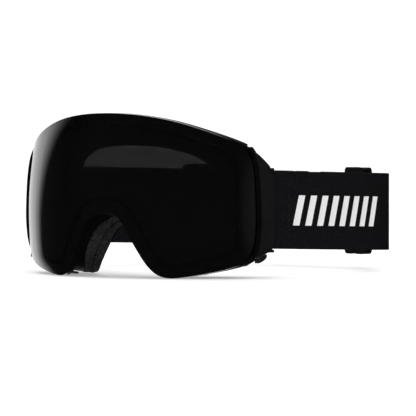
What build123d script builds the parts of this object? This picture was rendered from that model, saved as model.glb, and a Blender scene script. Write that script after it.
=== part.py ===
"""Ski goggles: one-piece toric lens held by magnets and two side levers, flexible face frame with
vents and three-layer face foam, flared side covers, and a two-piece elastic strap with sliders
and a rear clip.

Frame: +Z up, the lens faces -Y, the wearer's left side is +X, origin at the middle of the
footprint on the surface the goggles stand on.  Millimetres."""
from build123d import *
import math
import os

os.makedirs("parts", exist_ok=True)

# ------------------------------------------------------------------ driving sizes
LENS_R = 109.0          # horizontal radius of the lens
LENS_RV = 250.0         # vertical radius of the lens
LENS_ZC = 40.0          # height of the lens's widest level
ROLL_Z = 14.0           # below this height the lens rolls under
ROLL_R = 40.0
LENS_T = 1.6            # outer lens
GASKET_T = 2.6          # foam spacer between the two lenses
INNER_T = 0.9           # inner lens
RIM_FRONT = 1.9         # front frame starts this far behind the lens's face
RIM_BACK = 5.2
FACE_R = 100.0          # radius of the face side of the frame
FACE_Y = 28.0           # depth of the face flange at the middle
FLANGE_T = 2.0
FOAM_T = (7.5, 6.5, 1.4)  # base foam, soft foam, fleece
WALL_T = 2.0

STRAP_W = 50.0
STRAP_T = 1.6
LAYER_GAP = 1.8         # between the two layers of the doubled strap
STRAP_Z = 43.3          # mid height of the strap at the hinge
DROOP = 2.2             # degrees, the strap falls towards the rear
PIN = (86.5, 64.0)      # strap anchor pin, in plan
PIN_R = 1.25
BETA0 = 68.7            # heading of the strap where it leaves the pin, from +X
R1, R2, R3 = 243.0, 50.0, 42.0
STRAIGHT = 44.0
BETA2 = 162.0
CLIP_BAR_X = 13.8
CLIP_W = 45.6           # the webbing is folded to this width where it loops round the clip's bar

# right half of the lens outline (x, z), from the top centre round to the nose notch
LENS_HALF = [(0, 105.3), (12, 105.0), (22, 104.2), (32, 102.8), (42, 100.8), (51, 98.2), (59, 95.3),
             (66.5, 92.2), (73.4, 88.8), (79.0, 85.2), (82.9, 80.4), (85.1, 73.8), (86.7, 63.0), (87.4, 50.0),
             (87.7, 36.0), (86.8, 23.0), (84.7, 14.5), (80.4, 9.0), (72.4, 5.6), (62.5, 3.1), (53.0, 1.2),
             (45.5, 0.1), (39.0, 0.0), (34.2, 2.2), (29.6, 7.6), (23.8, 17.4), (17.2, 29.3), (12.6, 37.6),
             (8.6, 41.2), (4.2, 42.0)]
FACE_HALF = [(0, 97.0), (15, 96.4), (29, 94.2), (42, 90.4), (53, 84.8), (61.5, 77.5), (68.0, 68.0), (72.2, 57.5),
             (73.6, 46.0), (72.6, 34.0), (69.0, 22.5), (63.0, 13.0), (55.0, 6.2), (46.5, 2.2), (39.0, 1.6),
             (33.5, 4.4), (28.3, 10.6), (22.6, 20.0), (16.6, 29.6), (10.8, 36.2), (5.2, 38.8)]
EYE_HALF = [(0, 84.0), (15, 83.6), (30, 81.8), (43, 78.0), (53.2, 71.4), (60.0, 62.2), (63.2, 50.5),
            (62.2, 39.0), (57.4, 29.8), (49.6, 23.4), (40.0, 20.8), (31.8, 22.8), (24.2, 29.4), (17.0, 39.2),
            (10.6, 47.8), (5.0, 52.2)]


# ------------------------------------------------------------------ outline helpers
def mirrored(half):
    """Closed loop, clockwise seen from the front, from the half outline (its first and last points lie
    on or next to the symmetry plane)."""
    left = [(-x, z) for x, z in reversed(half) if x > 1e-6]
    return list(half) + left


def smooth(points, per=6):
    """Closed Catmull-Rom through the points."""
    out, n = [], len(points)
    for i in range(n):
        p0, p1, p2, p3 = points[i - 1], points[i], points[(i + 1) % n], points[(i + 2) % n]
        for k in range(per):
            t = k / per
            out.append(tuple(0.5 * (2 * p1[j] + (p2[j] - p0[j]) * t
                                    + (2 * p0[j] - 5 * p1[j] + 4 * p2[j] - p3[j]) * t * t
                                    + (3 * p1[j] - p0[j] - 3 * p2[j] + p3[j]) * t ** 3) for j in (0, 1)))
    return out


def resample(loop, n):
    """n points evenly spaced along the closed loop, starting at its top middle."""
    m = len(loop)
    start = max(range(m), key=lambda i: loop[i][1] - abs(loop[i][0]) * 5)
    pts = loop[start:] + loop[:start]
    pts.append(pts[0])
    s = [0.0]
    for a, b in zip(pts, pts[1:]):
        s.append(s[-1] + math.dist(a, b))
    out, j = [], 0
    for i in range(n):
        t = s[-1] * i / n
        while s[j + 1] < t:
            j += 1
        f = (t - s[j]) / max(s[j + 1] - s[j], 1e-9)
        out.append(tuple(pts[j][k] + f * (pts[j + 1][k] - pts[j][k]) for k in (0, 1)))
    return out


def inset(loop, d):
    """The loop moved inwards by d (outwards if negative), trimmed where it would cross itself."""
    n, moved = len(loop), []
    area = sum(loop[i - 1][0] * loop[i][1] - loop[i][0] * loop[i - 1][1] for i in range(n))
    side = 1 if area > 0 else -1
    for i in range(n):
        a, b = loop[i - 1], loop[(i + 1) % n]
        tx, tz = b[0] - a[0], b[1] - a[1]
        length = math.hypot(tx, tz)
        moved.append((loop[i][0] - side * tz / length * d, loop[i][1] + side * tx / length * d))
    kept = [p for p in moved if min(math.dist(p, q) for q in loop) > abs(d) - 0.04]
    return kept


def relax(loop, passes=2):
    for _ in range(passes):
        loop = [tuple((loop[i - 1][k] + 2 * loop[i][k] + loop[(i + 1) % len(loop)][k]) / 4 for k in (0, 1))
                for i in range(len(loop))]
    return loop


def symmetric(loop):
    """Averages the loop with its mirror image. The loop starts at the top middle, evenly spaced."""
    n = len(loop)
    return [((loop[i][0] - loop[-i % n][0]) / 2, (loop[i][1] + loop[-i % n][1]) / 2) for i in range(n)]


def ring_points(half, d, n=56):
    dense = resample(smooth(mirrored(half), 10), 600)
    if d:
        dense = inset(dense, d)
    return symmetric(relax(resample(relax(resample(dense, 240), 3), n), 0))


def outline_face(half, d=0.0, n=56, y=0.0):
    """A face in the plane Y = y, bounded by the outline moved inwards by d."""
    with BuildLine(mode=Mode.PRIVATE) as line:
        Spline(*[(x, y, z) for x, z in ring_points(half, d, n)], periodic=True)
    return Face(Wire(line.edges()))


def lens_loss(z):
    """How much narrower than LENS_R the lens is at height z."""
    def sag(dz):
        return LENS_RV - math.sqrt(LENS_RV ** 2 - dz ** 2)
    if z >= ROLL_Z:
        return sag(z - LENS_ZC)
    dz = LENS_ZC - ROLL_Z
    th = math.asin(dz / LENS_RV)
    cr, cz = sag(dz) + ROLL_R * math.cos(th), ROLL_Z + ROLL_R * math.sin(th)
    return cr - math.sqrt(ROLL_R ** 2 - (z - cz) ** 2)


def shell(o1, o2, z0=-8.0, z1=118.0, spread=84.0):
    """Solid of revolution between the lens's face moved back by o1 and by o2, about the vertical
    axis at (0, LENS_R)."""
    th = math.asin((LENS_ZC - ROLL_Z) / LENS_RV)
    rc = LENS_R - (LENS_RV - math.sqrt(LENS_RV ** 2 - (LENS_ZC - ROLL_Z) ** 2)) - ROLL_R * math.cos(th)
    zc2 = ROLL_Z + ROLL_R * math.sin(th)

    def curve(o):
        """Five points (radius, z) down the profile moved in by o."""
        rv, rr = LENS_RV - o, ROLL_R - o
        cx = LENS_R - LENS_RV
        zj = LENS_ZC - rv * math.sin(th)

        def main(z):
            return (cx + math.sqrt(rv ** 2 - (z - LENS_ZC) ** 2), z)

        def low(z):
            return (rc + math.sqrt(rr ** 2 - (z - zc2) ** 2), z)
        return main(z1), main((z1 + zj) / 2), main(zj), low((zj + z0) / 2), low(z0)

    a, b = curve(o1), curve(o2)
    with BuildPart() as part:
        with BuildSketch(Plane((0, LENS_R, 0), x_dir=(0, -1, 0), z_dir=(-1, 0, 0))) as _:
            with BuildLine():
                ThreePointArc(a[0], a[1], a[2])
                ThreePointArc(a[2], a[3], a[4])
                Line(a[4], b[4])
                ThreePointArc(b[4], b[3], b[2])
                ThreePointArc(b[2], b[1], b[0])
                Line(b[0], a[0])
            make_face()
        revolve(axis=Axis((0, LENS_R, 0), (0, 0, 1)), revolution_arc=2 * spread)
    turned = part.part.rotate(Axis((0, LENS_R, 0), (0, 0, 1)), -spread)
    if turned.bounding_box().center().X ** 2 > 1:
        turned = part.part.rotate(Axis((0, LENS_R, 0), (0, 0, 1)), spread)
    return turned


def lens_y(x, z, o):
    """Depth of the surface o behind the lens's face, over (x, z)."""
    th = math.asin((LENS_ZC - ROLL_Z) / LENS_RV)
    rc = LENS_R - (LENS_RV - math.sqrt(LENS_RV ** 2 - (LENS_ZC - ROLL_Z) ** 2)) - ROLL_R * math.cos(th)
    zc2 = ROLL_Z + ROLL_R * math.sin(th)
    rv, rr = LENS_RV - o, ROLL_R - o
    if z >= LENS_ZC - rv * math.sin(th):
        r = LENS_R - LENS_RV + math.sqrt(rv ** 2 - (z - LENS_ZC) ** 2)
    else:
        r = rc + math.sqrt(rr ** 2 - (z - zc2) ** 2)
    return LENS_R - math.sqrt(r * r - x * x)


def tube_solid(loops):
    """Solid ring whose section has one corner on each of the closed loops, taken in order."""
    edges = [Edge.make_spline([Vector(*p) for p in loop], periodic=True) for loop in loops]
    faces = [Face.make_surface_from_curves(edges[i], edges[(i + 1) % len(edges)]) for i in range(len(edges))]
    return Solid(Shell(faces))


def strip_solid(rails):
    """Solid strip whose section has one corner on each of the open rails, taken in order."""
    edges = [Edge.make_spline([Vector(*p) for p in rail]) if len(rail) > 2
             else Edge.make_line(Vector(*rail[0]), Vector(*rail[1])) for rail in rails]
    faces = [Face.make_surface_from_curves(edges[i], edges[(i + 1) % len(edges)]) for i in range(len(edges))]
    for k in (0, -1):
        faces.append(Face(Wire.make_polygon([Vector(*rail[k]) for rail in rails], close=True)))
    return Solid(Shell(faces))


# ------------------------------------------------------------------ shared profiles
def wide(half, extra=1.7):
    """The outline carried a little further out at the sides."""
    return [(x + extra * (x / 87.0) ** 6, z) for x, z in half]


def near_nose(x, z):
    """1 at the nose notch, falling to 0 away from it."""
    a = min(1.0, max(0.0, (52.0 - z) / 26.0))
    b = min(1.0, max(0.0, (44.0 - abs(x)) / 22.0))
    return a * a * (3 - 2 * a) * b * b * (3 - 2 * b)


def face_y(x, z):
    return FACE_Y + FACE_R - math.sqrt(FACE_R ** 2 - x * x) - 17.0 * near_nose(x, z)


def at_face(points, back):
    """Loop on the face side: the flange front, moved back by `back`; the nose fills in with depth."""
    return [(x, face_y(x, z) + back * (1 + 0.38 * near_nose(x, z)), z) for x, z in points]


def toward(loop, other, f):
    return [(a[0] + f * (b[0] - a[0]), a[1] + f * (b[1] - a[1])) for a, b in zip(loop, other)]


FOAM_HALF = [(0, 96.2), (15, 95.6), (29, 93.4), (42, 89.4), (52.5, 83.8), (60.5, 76.6), (66.6, 67.6), (70.6, 57.5),
             (72.0, 46.0), (71.0, 34.0), (67.4, 22.5), (61.6, 13.0), (54.0, 5.6), (46.0, 1.2), (38.6, 0.2),
             (32.0, 1.6), (26.4, 6.6), (20.4, 15.0), (14.4, 24.4), (9.2, 30.6), (4.6, 33.0)]
FACE_LOOP = ring_points(FACE_HALF, 0)
FOAM_LOOP = ring_points(FOAM_HALF, 0)
EYE_LOOP = ring_points(EYE_HALF, 0)
FRONT_LOOP = ring_points(LENS_HALF, 3.4)
FRONT_IN = ring_points(LENS_HALF, 5.6)


# ------------------------------------------------------------------ strap path in plan
def strap_path():
    """Stations (s, x, y, heading in degrees) down the middle of the strap's outer layer, left side,
    from the anchor pin to the rear clip's bar."""
    out = []
    b = math.radians(BETA0)
    x = PIN[0] + 2.1 * math.sin(b)
    y = PIN[1] - 2.1 * math.cos(b)
    s = 0.0

    def put():
        out.append((s, x, y, math.degrees(b)))
    put()
    legs = [(7.0, 0.0), (R1, 90.0), (R2, BETA2), (STRAIGHT, 0.0), (R3, 180.0)]
    for size, target in legs:
        if target == 0.0:
            n = max(2, int(size / 4))
            for _ in range(n):
                x += size / n * math.cos(b)
                y += size / n * math.sin(b)
                s += size / n
                put()
        else:
            turn = math.radians(target) - b
            n = max(3, int(turn * size / 5))
            for _ in range(n):
                d = turn / n
                chord = 2 * size * math.sin(d / 2)
                x += chord * math.cos(b + d / 2)
                y += chord * math.sin(b + d / 2)
                b += d
                s += size * d
                put()
    rest = x - CLIP_BAR_X
    n = 2
    for _ in range(n):
        x -= rest / n
        s += rest / n
        put()
    return out


PATH = strap_path()
S_CLIP = PATH[-1][0]
Y_CLIP = PATH[-1][2]
S_STRAIGHT = next(p[0] for p in PATH if abs(p[3] - BETA2) < 1e-6)


def strap_z(y):
    """Mid height of the strap at depth y."""
    return STRAP_Z - (y - PIN[1]) * math.tan(math.radians(DROOP))


def at_s(s):
    """(x, y, heading in radians) at the distance s down the path."""
    for p, q in zip(PATH, PATH[1:]):
        if q[0] >= s - 1e-9:
            f = min(1.0, max(0.0, (s - p[0]) / max(q[0] - p[0], 1e-9)))
            return (p[1] + f * (q[1] - p[1]), p[2] + f * (q[2] - p[2]),
                    math.radians(p[3] + f * (q[3] - p[3])))
    return PATH[-1][1], PATH[-1][2], math.radians(PATH[-1][3])


def rail(s0, s1, side, up, step=5.0):
    """3-D points along the path from s0 to s1, `side` mm to the outside of the strap's middle surface
    and `up` mm above its mid height."""
    marks = [s0] + [p[0] for p in PATH if s0 + 0.5 < p[0] < s1 - 0.5] + [s1]
    out = []
    for s in marks:
        x, y, b = at_s(s)
        out.append((x + side * math.sin(b), y - side * math.cos(b), strap_z(y) + up))
    return out


def layer(s0, s1, side0, side1, up0, up1):
    return strip_solid([rail(s0, s1, side0, up0), rail(s0, s1, side0, up1),
                        rail(s0, s1, side1, up1), rail(s0, s1, side1, up0)])


def mirror_x(shape):
    return shape.mirror(Plane.YZ)


def plan(z0, z1, *points):
    """Prism with a plan polygon."""
    with BuildPart() as p:
        with BuildSketch(Plane.XY.offset(z0)):
            with BuildLine():
                Polyline(*points, close=True)
            make_face()
        extrude(amount=z1 - z0)
    return p.part


def side_prism(x0, x1, *points):
    """Prism with a polygon in (y, z), between x0 and x1."""
    with BuildPart() as p:
        with BuildSketch(Plane((x0, 0, 0), x_dir=(0, 1, 0), z_dir=(1, 0, 0))):
            with BuildLine():
                Polyline(*points, close=True)
            make_face()
        extrude(amount=x1 - x0)
    return p.part


def post(x, y, z0, z1, r):
    with BuildPart() as p:
        with BuildSketch(Plane.XY.offset(z0)):
            with Locations((x, y)):
                Circle(r)
        extrude(amount=z1 - z0)
    return p.part


def along_y(face, far=130.0):
    return extrude(face, amount=far, dir=(0, 1, 0), mode=Mode.PRIVATE)


# ------------------------------------------------------------------ lens assembly
with BuildPart() as outer_lens:
    add(along_y(outline_face(LENS_HALF)))
    add(shell(0, LENS_T), mode=Mode.INTERSECT)

with BuildPart() as lens_gasket:
    add(along_y(outline_face(LENS_HALF, 7.0)))
    add(along_y(outline_face(LENS_HALF, 9.6)), mode=Mode.SUBTRACT)
    add(shell(LENS_T, LENS_T + GASKET_T), mode=Mode.INTERSECT)

with BuildPart() as inner_lens:
    add(along_y(outline_face(LENS_HALF, 7.0)))
    add(shell(LENS_T + GASKET_T, LENS_T + GASKET_T + INNER_T), mode=Mode.INTERSECT)

# magnets around the lens's border and their partners in the frame
BORDER = ring_points(LENS_HALF, 3.55, 112)
MAG_AT = []
for want in ((26, 100), (66, 89), (66, 8)):
    p = min(BORDER, key=lambda q: math.dist(q, want))
    MAG_AT += [p, (-p[0], p[1])]


def discs(radius, o1, o2):
    with BuildPart() as some:
        with BuildSketch(Plane.XZ):
            with Locations(*MAG_AT):
                Circle(radius)
        extrude(amount=-120)
        add(shell(o1, o2), mode=Mode.INTERSECT)
    return some.part


with BuildPart() as lens_magnets:
    add(discs(2.5, LENS_T, 2.8))

# ------------------------------------------------------------------ front frame
PIVOT = (86.7, 52.8)
with BuildPart() as front_frame:
    add(along_y(outline_face(wide(LENS_HALF))))
    add(along_y(outline_face(LENS_HALF, 6.3)), mode=Mode.SUBTRACT)
    add(shell(RIM_FRONT, RIM_BACK), mode=Mode.INTERSECT)
    for x0, z0, z1 in ((83.6, 9.4, 66.0), (79.0, 66.0, 88.0)):
        for side in (1, -1):
            cut = plan(z0, z1, (side * x0, 30), (side * 100, 30), (side * 100, 90), (side * x0, 90))
            add(cut & shell(3.0, 8.6), mode=Mode.SUBTRACT)
    add(discs(3.0, 0.5, 3.3), mode=Mode.SUBTRACT)
    add(discs(2.5, 3.3, 4.5), mode=Mode.SUBTRACT)
    for side in (1, -1):
        lip = (along_y(outline_face(wide(LENS_HALF, 2.5))) - along_y(outline_face(LENS_HALF, -0.35)))
        zone = plan(17.2, 84.0, (side * 78, 45.6), (side * 99, 45.6), (side * 99, 50.4), (side * 78, 50.4)) \
            + plan(7.5, 17.3, (side * 78, 45.6), (side * 99, 45.6), (side * 99, 46.9), (side * 78, 46.9))
        add(lip & zone)
        add(plan(7.9, 16.5, (side * 83.6, 47.2), (side * 99, 47.2), (side * 99, 62), (side * 83.6, 62)),
            mode=Mode.SUBTRACT)

with BuildPart() as frame_magnets:
    add(discs(2.5, 3.3, 4.5))

# ------------------------------------------------------------------ flexible face frame
front_outer = [(x, lens_y(x, z, RIM_BACK) + 0.08, z) for x, z in FRONT_LOOP]
front_inner = [(x, lens_y(x, z, RIM_BACK) + 0.08, z) for x, z in FRONT_IN]
flange_outer = at_face(FACE_LOOP, FLANGE_T)
flange_eye = toward(FACE_LOOP, EYE_LOOP, 0.96)
wall_foot = toward(FACE_LOOP, EYE_LOOP, 0.15)
# vents through the top, bottom and side walls
VENTS = []
for i in range(-4, 5):
    VENTS.append(("top", i * 13.0))
for sx in (-1, 1):
    for i in range(3):
        VENTS.append(("low", sx * (46.0 + 9.5 * i)))


def mid_wall(x, upper):
    """Middle of the wall (y, z) at x."""
    a = [p for p in front_outer if (p[2] > 50) == upper]
    b = [p for p in at_face(FACE_LOOP, 0.0) if (p[2] > 50) == upper]
    p = min(a, key=lambda q: abs(q[0] - x))
    q = min(b, key=lambda r: abs(r[0] - x))
    return (p[1] + q[1]) / 2, (p[2] + q[2]) / 2


VENT_CUTS = []
for where, vx in VENTS:
    vy, vz = mid_wall(vx, where == "top")
    with BuildPart(mode=Mode.PRIVATE) as slot:
        with BuildSketch(Plane.XY.offset(vz - 9)):
            with Locations((vx, vy)):
                SlotOverall(8.6 if where == "top" else 6.4, 4.4)
        extrude(amount=18)
    VENT_CUTS.append(slot.part)


with BuildPart() as face_frame:
    add(tube_solid([front_outer, front_inner, at_face(wall_foot, 0.0), at_face(flange_eye, 0.0),
                    at_face(flange_eye, FLANGE_T), flange_outer]))
    for cutter in VENT_CUTS:
        add(cutter, mode=Mode.SUBTRACT)


def vent_strip(first, last, upper, lift):
    """Foam strip over the vents, lying on the wall's outer side between two stations of its outline."""
    rails = []
    for f, h in ((0.24, 0.3), (0.24, lift), (0.76, lift), (0.76, 0.3)):
        one = []
        for i in range(first, last + 1):
            a, b = front_outer[i % len(front_outer)], flange_outer[i % len(flange_outer)]
            p = [a[k] + f * (b[k] - a[k]) for k in range(3)]
            one.append((p[0], p[1], p[2] + (h if upper else -h)))
        rails.append(one)
    return strip_solid(rails)


with BuildPart() as vent_foam_top:
    add(vent_strip(-7, 7, True, 2.4))
    add(face_frame.part, mode=Mode.SUBTRACT)

with BuildPart() as vent_foam_bottom:
    low = [i for i, p in enumerate(FRONT_LOOP) if p[1] < 16.0 and 42.0 < p[0] < 72.0]
    add(vent_strip(low[0], low[-1], False, 1.9))
    add(vent_strip(len(FRONT_LOOP) - low[-1], len(FRONT_LOOP) - low[0], False, 1.9))
    add(face_frame.part, mode=Mode.SUBTRACT)

# ------------------------------------------------------------------ face foam, three layers
t1, t2, t3 = FOAM_T
EYE_BACK = toward(EYE_LOOP, FOAM_LOOP, -0.06)
d0, d1, d2, d3 = FLANGE_T, FLANGE_T + t1, FLANGE_T + t1 + t2, FLANGE_T + t1 + t2 + t3
OUT_MID = toward(FACE_LOOP, FOAM_LOOP, 0.5)
with BuildPart() as face_foam_base:
    add(tube_solid([at_face(FACE_LOOP, d0), at_face(toward(FACE_LOOP, EYE_LOOP, 0.96), d0),
                    at_face(EYE_LOOP, d1), at_face(OUT_MID, d1)]))

with BuildPart() as face_foam_soft:
    add(tube_solid([at_face(OUT_MID, d1), at_face(EYE_LOOP, d1),
                    at_face(toward(EYE_LOOP, FOAM_LOOP, 0.04), d2), at_face(toward(FOAM_LOOP, EYE_LOOP, 0.04), d2)]))

with BuildPart() as face_fleece:
    add(tube_solid([at_face(toward(FOAM_LOOP, EYE_LOOP, 0.04), d2), at_face(toward(EYE_LOOP, FOAM_LOOP, 0.04), d2),
                    at_face(toward(EYE_LOOP, FOAM_LOOP, 0.14), d3), at_face(toward(FOAM_LOOP, EYE_LOOP, 0.14), d3)]))

# ------------------------------------------------------------------ side covers and strap pins
MID = STRAP_Z - 0.13
with BuildPart() as side_cover_left:
    add(plan(8.0, 90.0, (83.8, 47.0), (96.0, 47.0), (93.0, 57.0), (91.4, 61.6), (89.8, 61.8), (88.0, 58.2),
             (86.6, 57.6), (83.8, 57.6)))
    add(plan(69.5, 90.0, (79.4, 47.0), (92.0, 47.0), (92.0, 59.6), (88.2, 59.6), (79.4, 51.0)))
    add(along_y(outline_face(wide(LENS_HALF, 3.5))), mode=Mode.INTERSECT)
    add(side_prism(78.0, 95.0, (38.0, 84.9), (44.2, 84.7), (47.6, 81.9), (60.4, 71.0), (62.4, 68.6), (62.4, 17.4),
                   (60.6, 16.4), (57.6, 15.6), (47.0, 13.0), (38.0, 10.8)), mode=Mode.INTERSECT)
    for z0, z1 in ((MID + 25.5, MID + 27.0), (MID - 27.0, MID - 25.5)):
        with BuildSketch(Plane.XY.offset(z0)):
            with BuildLine():
                Polyline((84.2, 56.0), (89.6, 57.5), (90.6, 61.4), (88.7, 64.9), (86.5, 66.4), (84.4, 65.0),
                         close=True)
            make_face()
        extrude(amount=z1 - z0)
    add(shell(-30, 3.15) & along_y(outline_face(LENS_HALF, -0.35)), mode=Mode.SUBTRACT)
    add(along_y(outline_face(LENS_HALF, 5.2)), mode=Mode.SUBTRACT)
    add(plan(23.0, 64.0, (82.0, 51.2), (89.6, 51.2), (89.6, 56.0), (82.0, 56.0)), mode=Mode.SUBTRACT)
    add(front_frame.part, mode=Mode.SUBTRACT)
    add(face_frame.part, mode=Mode.SUBTRACT)
    with BuildSketch(Plane.XY.offset(MID - 28.2)):
        with Locations(PIN):
            Circle(PIN_R)
    extrude(amount=56.4, mode=Mode.SUBTRACT)
    with BuildSketch(Plane.XY.offset(MID - 25.4)):
        with Locations(PIN):
            Circle(3.35)
    extrude(amount=50.8, mode=Mode.SUBTRACT)
    with BuildSketch(Plane.XY.offset(8.0)):
        with Locations(PIVOT):
            Circle(0.8)
    extrude(amount=12.0, mode=Mode.SUBTRACT)
    rear = side_cover_left.edges().filter_by(Axis.Z).sort_by(Axis.X)[-1]
    try:
        fillet(rear, 0.6)
    except Exception:
        pass

with BuildPart() as side_cover_right:
    add(mirror_x(side_cover_left.part))

with BuildPart() as strap_pin_left:
    with BuildSketch(Plane.XY.offset(MID - 27.0)):
        with Locations(PIN):
            Circle(PIN_R)
    extrude(amount=54.0)
    chamfer(strap_pin_left.edges().filter_by(GeomType.CIRCLE), 0.2)

with BuildPart() as strap_pin_right:
    add(mirror_x(strap_pin_left.part))

# ------------------------------------------------------------------ lens release levers
with BuildPart() as latch_lever_left:
    add(side_prism(84.8, 88.5, (47.7, 12.7), (57.2, 15.0), (57.0, 12.9), (54.5, 11.3), (50.5, 10.1), (47.7, 9.6)))
    chamfer(latch_lever_left.faces().sort_by(Axis.X)[-1].edges(), 0.5)
    with BuildSketch(Plane.XY.offset(5.0)):
        with Locations(PIVOT):
            Circle(1.4)
    extrude(amount=6.9, mode=Mode.SUBTRACT)
    with BuildSketch(Plane.XY.offset(5.0)):
        with Locations(PIVOT):
            Circle(0.84)
    extrude(amount=14.0, mode=Mode.SUBTRACT)

with BuildPart() as latch_lever_right:
    add(mirror_x(latch_lever_left.part))

with BuildPart() as latch_pins:
    for side in (1, -1):
        add(post(side * PIVOT[0], PIVOT[1], 11.0, 18.0, 0.8))
        add(post(side * PIVOT[0], PIVOT[1], 11.0, 11.6, 1.15))

# ------------------------------------------------------------------ straps
HALF_T = STRAP_T / 2
HALF_W = STRAP_W / 2
LAY = LAYER_GAP


def teardrop(cx, cy, heading, length, side, low, width=STRAP_W):
    """Closed end of the webbing round a pin: plan outline of the loop with its pin hole, as tall as
    the strap. `heading` points from the pin along the strap; the outer layer lies to its `side`."""
    z = strap_z(cy)
    b = math.radians(heading)
    ux, uy = math.cos(b), math.sin(b)
    nx, ny = side * uy, -side * ux
    with BuildPart() as t:
        with BuildSketch(Plane.XY.offset(z - width / 2)):
            with BuildSketch(mode=Mode.PRIVATE) as tip:
                with BuildLine():
                    Polyline((cx + ux * length + nx * 2.9, cy + uy * length + ny * 2.9),
                             (cx + ux * length + nx * low, cy + uy * length + ny * low),
                             (cx + ux * (length - 0.6) + nx * low, cy + uy * (length - 0.6) + ny * low),
                             (cx + ux * (length - 0.6) + nx * 2.9, cy + uy * (length - 0.6) + ny * 2.9), close=True)
                make_face()
            with Locations((cx, cy)):
                Circle(2.9)
            add(tip.sketch)
            make_hull()
            with Locations((cx, cy)):
                Circle(PIN_R + 0.05, mode=Mode.SUBTRACT)
        extrude(amount=width)
    return t.part


S_TAIL = S_STRAIGHT + 4.0
S_LAST = PATH[-3][0]
BAR = (CLIP_BAR_X, Y_CLIP - 2.1)


def half_strap():
    """Webbing of the left half: the run from pin to clip, its loops and the doubled-back layer."""
    with BuildPart() as web:
        add(teardrop(PIN[0], PIN[1], BETA0, PATH[2][0], 1, 1.0))
        add(teardrop(BAR[0], BAR[1], 0.0, PATH[-3][1] - BAR[0], -1, -0.5, CLIP_W))
        add(layer(PATH[2][0], S_LAST, -HALF_T, HALF_T, -HALF_W, HALF_W))
        add(layer(S_TAIL, S_LAST, -LAY - HALF_T, -LAY + HALF_T, -HALF_W, HALF_W))
    return web.part


with BuildPart() as strap_left:
    add(half_strap())

with BuildPart() as strap_right:
    add(mirror_x(strap_left.part))

# silicone lines along the inside of the strap, clear of the stitched loop and of the slider
with BuildPart() as grip_lines_left:
    for up, w in ((6.4, 1.3), (3.9, 1.3), (-2.6, 0.8), (-7.4, 1.3)):
        add(layer(16.0, S_TAIL - 6.0, -HALF_T - 0.35, -HALF_T, up - w / 2, up + w / 2))

with BuildPart() as grip_lines_right:
    add(mirror_x(grip_lines_left.part))

# woven pattern: a row of leaning bars on the outside
with BuildPart() as strap_pattern_left:
    for k in range(8):
        s0 = 15.5 + k * 10.2
        lean = 5.0
        low = rail(s0, s0 + 5.2, HALF_T + 0.15, -9.7)
        high = rail(s0 + lean, s0 + lean + 5.2, HALF_T + 0.15, 9.7)
        low_out = rail(s0, s0 + 5.2, HALF_T + 0.36, -9.7)
        high_out = rail(s0 + lean, s0 + lean + 5.2, HALF_T + 0.36, 9.7)
        corners = [[low[0], low[-1], high[-1], high[0]], [low_out[0], low_out[-1], high_out[-1], high_out[0]]]
        faces = []
        for quad in corners:
            faces.append(Face.make_surface_from_curves(Edge.make_line(Vector(*quad[0]), Vector(*quad[1])),
                                                       Edge.make_line(Vector(*quad[3]), Vector(*quad[2]))))
        for i in range(4):
            j = (i + 1) % 4
            faces.append(Face.make_surface_from_curves(
                Edge.make_line(Vector(*corners[0][i]), Vector(*corners[0][j])),
                Edge.make_line(Vector(*corners[1][i]), Vector(*corners[1][j]))))
        add(Solid(Shell(faces)))

with BuildPart() as strap_pattern_right:
    add(mirror_x(strap_pattern_left.part))

# box-stitched tacks that close the webbing round the anchor pin
with BuildPart() as bar_tacks_left:
    for up in (-19.0, -9.5, 0.0, 9.5, 19.0):
        add(layer(11.6, 12.6, HALF_T + 0.03, HALF_T + 0.3, up - 3.6, up + 3.6))

with BuildPart() as bar_tacks_right:
    add(mirror_x(bar_tacks_left.part))

# ------------------------------------------------------------------ rear clip
ZC = strap_z(Y_CLIP)
BY = BAR[1]
with BuildPart() as clip_male:
    # loop frame round the strap's end, then a plate and two flat tongues
    with BuildSketch(Plane((0, BY, 0), x_dir=(1, 0, 0), z_dir=(0, -1, 0))):
        with Locations((11.0, ZC)):
            RectangleRounded(11.0, 50.4, 2.0)
        with Locations((14.0, ZC)):
            Rectangle(7.2, 46.4, mode=Mode.SUBTRACT)
    extrude(amount=2.0, both=True)
    add(post(BAR[0], BY, ZC - 24.2, ZC + 24.2, PIN_R - 0.05))
    with BuildSketch(Plane((0, BY, 0), x_dir=(1, 0, 0), z_dir=(0, -1, 0))):
        for up in (-13.0, 13.0):
            with Locations((1.6, ZC + up)):
                RectangleRounded(11.0, 15.0, 1.5)
    extrude(amount=0.9, both=True)

with BuildPart() as clip_female:
    with BuildSketch(Plane((0, BY, 0), x_dir=(1, 0, 0), z_dir=(0, -1, 0))):
        with Locations((-6.1, ZC)):
            RectangleRounded(21.6, 50.4, 2.5)
        with Locations((-14.0, ZC)):
            Rectangle(7.2, 46.4, mode=Mode.SUBTRACT)
    extrude(amount=2.9, both=True)
    add(post(-BAR[0], BY, ZC - 24.2, ZC + 24.2, PIN_R - 0.05))
    for up in (-13.0, 13.0):
        with BuildSketch(Plane.XY.offset(ZC + up - 8.1)):
            with BuildLine():
                Polyline((-5.0, BY - 1.25), (5.5, BY - 1.75), (5.5, BY + 1.75), (-5.0, BY + 1.25), close=True)
            make_face()
        extrude(amount=16.2, mode=Mode.SUBTRACT)

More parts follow.
